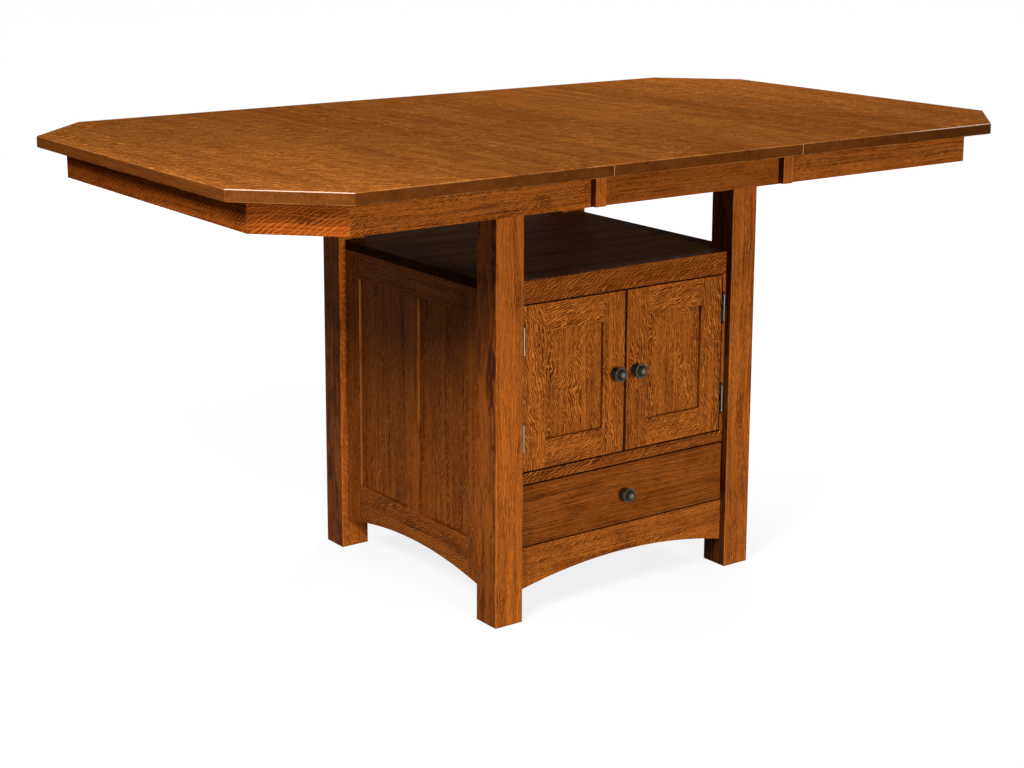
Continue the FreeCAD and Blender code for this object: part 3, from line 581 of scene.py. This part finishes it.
# The end aprons' stain is lightened overall as painted light, and the end share darkens their clipped corner
# boards as painted shade.
end_apron_oak = oak("end apron oak", "Y", "Z", seed=52.0, fleck=0.5, fleck_size=1.4, tilt=1.0, waver=8.0,
                    depth=500.0, contrast=1.2, stain=END_STAIN, shade=1.25, end_grain_and_shade=0.45, gloss=0.0)
# The blocks' left faces take a painted shade and their arrises a painted highlight.
block_oak = oak("block oak", "Z", "X", seed=53.0, piece=(400, 800, WHOLE), fleck=0.15, tilt=0.1,
                painted_left_shade=0.6, painted_light_share=0.9, rounded="X")
dress(half_top_oak, "left_top", "right_top")
dress(long_apron_oak, "left_long_aprons", "right_long_aprons")
dress(end_apron_oak, "left_end_aprons", "right_end_aprons")
dress(block_oak, "left_cover_blocks", "right_cover_blocks")

# Leaf. A plain board of the same make with an apron at each end. It lies on the runners between
# the halves, and lifts out.
leaf_oak = oak("leaf oak", "Y", "X", seed=0.85, **TOP_OAK)
leaf_apron_oak = oak("leaf apron oak", "X", "Z", seed=61.0, piece=(WHOLE, 800, WHOLE), fleck=0.35,
                     fleck_size=0.7, tilt=-0.2, streaks=0.5, shade=0.70)
dress(leaf_oak, "leaf_top")
dress(leaf_apron_oak, "leaf_aprons")

# Studio. A white sweep of floor, a large soft lamp far off in front, smaller ones at the left
# and above the far right end, a weak low one behind, and a plain pale surround. The floor glows
# a little greyer round the table, and its paint keeps the table's shadow.
FLOOR_REACH = 14.0
FLOOR_BOUNCE = (0.12, 0.12, 0.12, 1)
FLOOR_SEEN = (0.25, 0.25, 0.25, 1)
GLOW_NEAR = (0.82, 0.82, 0.82, 1)
GLOW_FAR = (0.99, 0.99, 0.99, 1)
GLOW_RISE = (0.9, 3.6)
SURROUND = 0.04

mesh = bpy.data.meshes.new("floor")
corners = [(x * FLOOR_REACH, y * FLOOR_REACH, 0) for x, y in ((-1, -1), (1, -1), (1, 1), (-1, 1))]
mesh.from_pydata(corners, [], [(0, 1, 2, 3)])
floor = bpy.data.objects.new("floor", mesh)
bpy.context.collection.objects.link(floor)


def seen(wire):
    """One for a ray from the lens, or one that metal or glass sends on, and nought for the rest."""
    lens_ray, mirror_ray, glass_ray = (wire.node("ShaderNodeLightPath", {}, {}, ray) for ray in
                                       ("Is Camera Ray", "Is Glossy Ray", "Is Transmission Ray"))
    return wire.math("MAXIMUM", wire.math("MAXIMUM", lens_ray, mirror_ray), glass_ray)


def end_tree(wire, kind):
    """Lead the last shader of a tree to its output."""
    output = wire.tree.nodes.new(kind)
    wire.tree.links.new(wire.socket, output.inputs["Surface"])


floor_paint = bpy.data.materials.new("floor paint")
floor_paint.use_nodes = True
floor_paint.node_tree.nodes.clear()
wire = Wire(floor_paint.node_tree)
bounce = wire.node("ShaderNodeBsdfDiffuse", {}, {"Color": FLOOR_BOUNCE})
paint = wire.node("ShaderNodeBsdfDiffuse", {}, {"Color": FLOOR_SEEN})
place = wire.node("ShaderNodeTexCoord", {}, {}, "Object")
distance = wire.node("ShaderNodeVectorMath", {"operation": "LENGTH"}, {0: place}, "Value")
shade = distance.step(*GLOW_RISE).mixed(GLOW_NEAR, GLOW_FAR)
glow = wire.node("ShaderNodeEmission", {}, {"Color": shade, "Strength": 1.0})
sheet = wire.node("ShaderNodeAddShader", {}, {0: paint, 1: glow})
end_tree(wire.node("ShaderNodeMixShader", {}, {0: seen(wire), 1: bounce, 2: sheet}),
         "ShaderNodeOutputMaterial")
floor.data.materials.append(floor_paint)

world = bpy.data.worlds.new("studio")
bpy.context.scene.world = world
world.use_nodes = True
world.node_tree.nodes.clear()
wire = Wire(world.node_tree)
strength = seen(wire) * (1.0 - SURROUND) + SURROUND
end_tree(wire.node("ShaderNodeBackground", {}, {"Color": (1, 1, 1, 1), "Strength": strength}),
         "ShaderNodeOutputWorld")


def soft_lamp(name, place, target, width, height, power):
    """A soft box that faces a point and shows neither in the picture nor in the metal."""
    lamp = bpy.data.lights.new(name, "AREA")
    lamp.shape = "RECTANGLE"
    lamp.size = width
    lamp.size_y = height
    lamp.energy = power
    holder = bpy.data.objects.new(name, lamp)
    bpy.context.collection.objects.link(holder)
    holder.location = place
    holder.rotation_euler = (Vector(target) - Vector(place)).to_track_quat("-Z", "Y").to_euler()
    holder.visible_camera = False
    holder.visible_glossy = False


soft_lamp("front_lamp", (-0.60, -9.0, 1.5), target=(0, -0.3, 0.72), width=3.0, height=2.4, power=710.0)
soft_lamp("left_lamp", (-2.15, -1.25, 2.12), target=(-0.3, -0.1, 0.5), width=0.9, height=0.9, power=70.0)
soft_lamp("far_lamp", (1.9, 1.3, 2.3), target=(0.3, 0, 0.8), width=1.6, height=1.6, power=60.0)
soft_lamp("back_lamp", (0.9, 6.0, 0.55), target=(0, 0.3, 0.5), width=2.4, height=1.0, power=150.0)

# Camera. It stands off the table's front left corner, half a metre above the top, and looks a
# little down, with its picture shifted so that the uprights lean less. Its place and angles were
# fitted to the photograph, in pixels of its 1024 by 768 frame.
PICTURE_WIDTH = 1024
PICTURE_HEIGHT = 768
FOCAL_PIXELS = 1943.2
LENS_AXIS_ROW = 260
SENSOR_WIDTH = 36.0
CAMERA_PLACE = (-2.3618, -3.1464, 1.4233)
AZIMUTH, ELEVATION, ROLL = (math.radians(angle) for angle in (-36.176, 11.423, -0.239))

lens = bpy.data.cameras.new("camera")
lens.sensor_width = SENSOR_WIDTH
lens.lens = FOCAL_PIXELS / PICTURE_WIDTH * SENSOR_WIDTH
lens.shift_y = (LENS_AXIS_ROW - PICTURE_HEIGHT / 2) / PICTURE_WIDTH
lens.clip_end = 60.0
camera = bpy.data.objects.new("camera", lens)
bpy.context.collection.objects.link(camera)
camera.matrix_world = (Matrix.Translation(CAMERA_PLACE) @ Matrix.Rotation(AZIMUTH, 4, "Z")
                       @ Matrix.Rotation(math.pi / 2 - ELEVATION, 4, "X") @ Matrix.Rotation(-ROLL, 4, "Z"))
bpy.context.scene.camera = camera
bpy.context.scene.view_settings.view_transform = "Standard"
